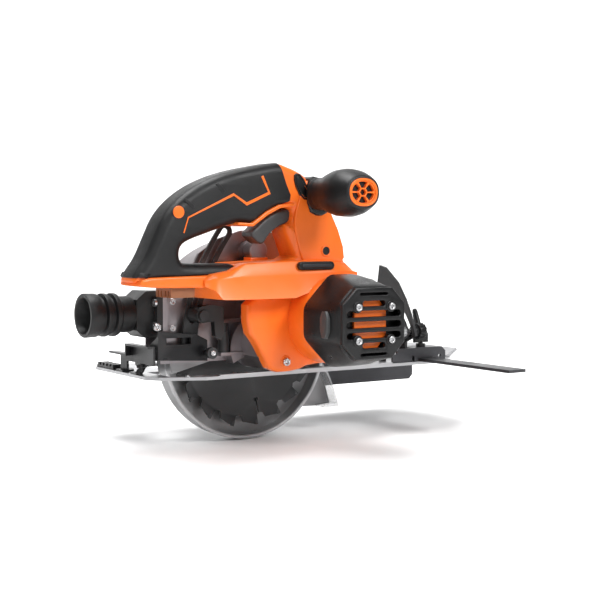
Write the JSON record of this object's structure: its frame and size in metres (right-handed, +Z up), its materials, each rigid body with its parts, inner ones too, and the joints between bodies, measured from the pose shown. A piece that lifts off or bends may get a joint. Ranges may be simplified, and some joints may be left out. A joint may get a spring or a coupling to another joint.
{
  "type": "cordless circular saw",
  "caption": "Cordless circular saw: orange housing with a rubber rear handle, black front handle, motor to the right, blade in a swinging guard, tilting base and rip fence.",
  "frame": {"origin": "on the sole, level with the arbor, in the middle of the narrow runner between the base's right edge and the blade slot", "axes": "+X the cutting direction, +Y from the motor to the blade, +Z up"},
  "size_m": [0.473, 0.293, 0.2725],
  "materials": {
    "silver_base": "satin",
    "steel": "brushed",
    "dark_steel": "satin black",
    "grey_metal": "satin grey",
    "cast_grey": "cast, painted",
    "guard_grey": "satin",
    "clear_lip": "clear plastic",
    "carbide_blade": "dark coated",
    "gear_steel": "machined",
    "copper": "enamelled",
    "orange": "fine texture",
    "black_plastic": "fine texture",
    "black_rubber": "soft matte",
    "grey_plastic": "smooth",
    "brown_plastic": "smooth"
  },
  "bodies": {
    "base": {"base_plate": "silver_base", "base_rivets": "steel", "bevel_quadrant": "dark_steel", "front_hinge": "dark_steel", "rear_channel": "dark_steel", "rear_rack": "black_plastic", "bevel_pins": "steel", "fence_bracket": "grey_metal"},
    "fence": {"rip_fence": "grey_metal"},
    "fence_clamp": {"fence_screw": "black_plastic"},
    "tilt_frame": {"front_tilt_bracket": "dark_steel", "depth_pin": "steel", "rear_tilt_bracket": "dark_steel", "depth_guide": "dark_steel", "bevel_bolt": "steel"},
    "bevel_lever": {"bevel_lock_lever": "black_plastic"},
    "head": {"upper_guard": "cast_grey", "dust_adapter": "black_plastic", "dust_cuff": "black_rubber", "adapter_screws": "steel", "depth_bolt": "dark_steel", "guard_spring": "dark_steel", "gear_case": "cast_grey", "gear_plate": "cast_grey", "spindle_front_bearing": "gear_steel", "small_bearings": "gear_steel", "stator_core": "gear_steel", "stator_winding": "copper", "motor_cap": "black_plastic", "grille_screws": "steel", "air_baffle": "orange", "housing_right": "orange", "housing_left": "orange", "shell_screws": "steel", "grip_rubber": "black_rubber", "trigger_spring": "steel", "power_switch": "black_plastic", "terminal_block": "brown_plastic", "front_handle": "black_rubber", "handle_insert": "orange", "handle_flange": "black_plastic", "handle_stud": "steel"},
    "depth_lever": {"depth_lock_lever": "black_plastic"},
    "blade_set": {"blade": "carbide_blade", "inner_flange": "gear_steel", "outer_flange": "gear_steel", "blade_bolt": "steel", "spindle": "gear_steel", "output_gear": "gear_steel"},
    "idler_shaft": {"idler": "gear_steel"},
    "rotor": {"rotor_shaft": "gear_steel", "rotor_core": "gear_steel", "cooling_fan": "black_plastic"},
    "swing_guard": {"lower_guard": "guard_grey", "guard_toe": "clear_lip", "guard_lever": "black_plastic"},
    "trigger_lever": {"trigger": "grey_plastic"},
    "lock_off": {"lock_off_button": "grey_plastic"},
    "spindle_stop": {"spindle_lock": "black_plastic"},
    "key": {"hex_key": "steel"}
  },
  "joints": [
    {"name": "bevel_tilt", "type": "hinge", "parent": "base", "child": "tilt_frame", "pos_m": [0, 0.05, 0.009], "axis": [-1, 0, 0], "range_deg": [0, 45]},
    {"name": "cut_depth", "type": "hinge", "parent": "tilt_frame", "child": "head", "pos_m": [0.128, 0.042, 0.018], "axis": [0, 1, 0], "range_deg": [0, 24]},
    {"name": "bevel_lock_turn", "type": "hinge", "parent": "tilt_frame", "child": "bevel_lever", "pos_m": [0.179, -0.00938, 0.03544], "axis": [1, 0, 0], "range_deg": [0, 50]},
    {"name": "depth_lock_turn", "type": "hinge", "parent": "head", "child": "depth_lever", "pos_m": [-0.07252, 0.008, 0.06062], "axis": [0, 1, 0], "range_deg": [0, 40]},
    {"name": "blade_spin", "type": "hinge", "parent": "head", "child": "blade_set", "pos_m": [0, 0.042, 0.026], "axis": [0, 1, 0], "continuous": true},
    {"name": "idler_spin", "type": "hinge", "parent": "head", "child": "idler_shaft", "pos_m": [0.02216, 0, 0.04229], "axis": [0, 1, 0], "continuous": true},
    {"name": "rotor_spin", "type": "hinge", "parent": "head", "child": "rotor", "pos_m": [0.048, -0.05, 0.055], "axis": [0, 1, 0], "continuous": true},
    {"name": "guard_swing", "type": "hinge", "parent": "head", "child": "swing_guard", "pos_m": [0, 0.042, 0.026], "axis": [0, 1, 0], "range_deg": [0, 115], "stiffness_Nm_per_rad": 0.12, "springref_deg": -68.75},
    {"name": "trigger_pull", "type": "hinge", "parent": "head", "child": "trigger_lever", "pos_m": [0.011, -0.016, 0.1565], "axis": [0, 1, 0], "range_deg": [0, 10], "stiffness_Nm_per_rad": 0.6, "springref_deg": -8.59, "deforming": ["trigger_spring"]},
    {"name": "lock_off_push", "type": "slide", "parent": "head", "child": "lock_off", "axis": [0, 1, 0], "range_m": [0, 0.003], "stiffness_N_per_m": 400, "springref_m": -0.001},
    {"name": "spindle_lock_push", "type": "slide", "parent": "head", "child": "spindle_stop", "axis": [-1, 0, 0], "range_m": [0, 0.004], "stiffness_N_per_m": 600, "springref_m": -0.002},
    {"name": "key_pull", "type": "slide", "parent": "head", "child": "key", "axis": [1, 0, 0], "range_m": [0, 0.06]},
    {"name": "fence_slide", "type": "slide", "parent": "base", "child": "fence", "axis": [0, 1, 0], "range_m": [0, 0.12]},
    {"name": "fence_clamp_turn", "type": "hinge", "parent": "base", "child": "fence_clamp", "pos_m": [0.1955, 0.005, 0.02], "axis": [0, 0, 1], "range_deg": [0, 180]}
  ],
  "couplings": [
    {"joint": "idler_spin", "follows": "blade_spin", "ratio": -1.2},
    {"joint": "rotor_spin", "follows": "blade_spin", "ratio": 6}
  ]
}
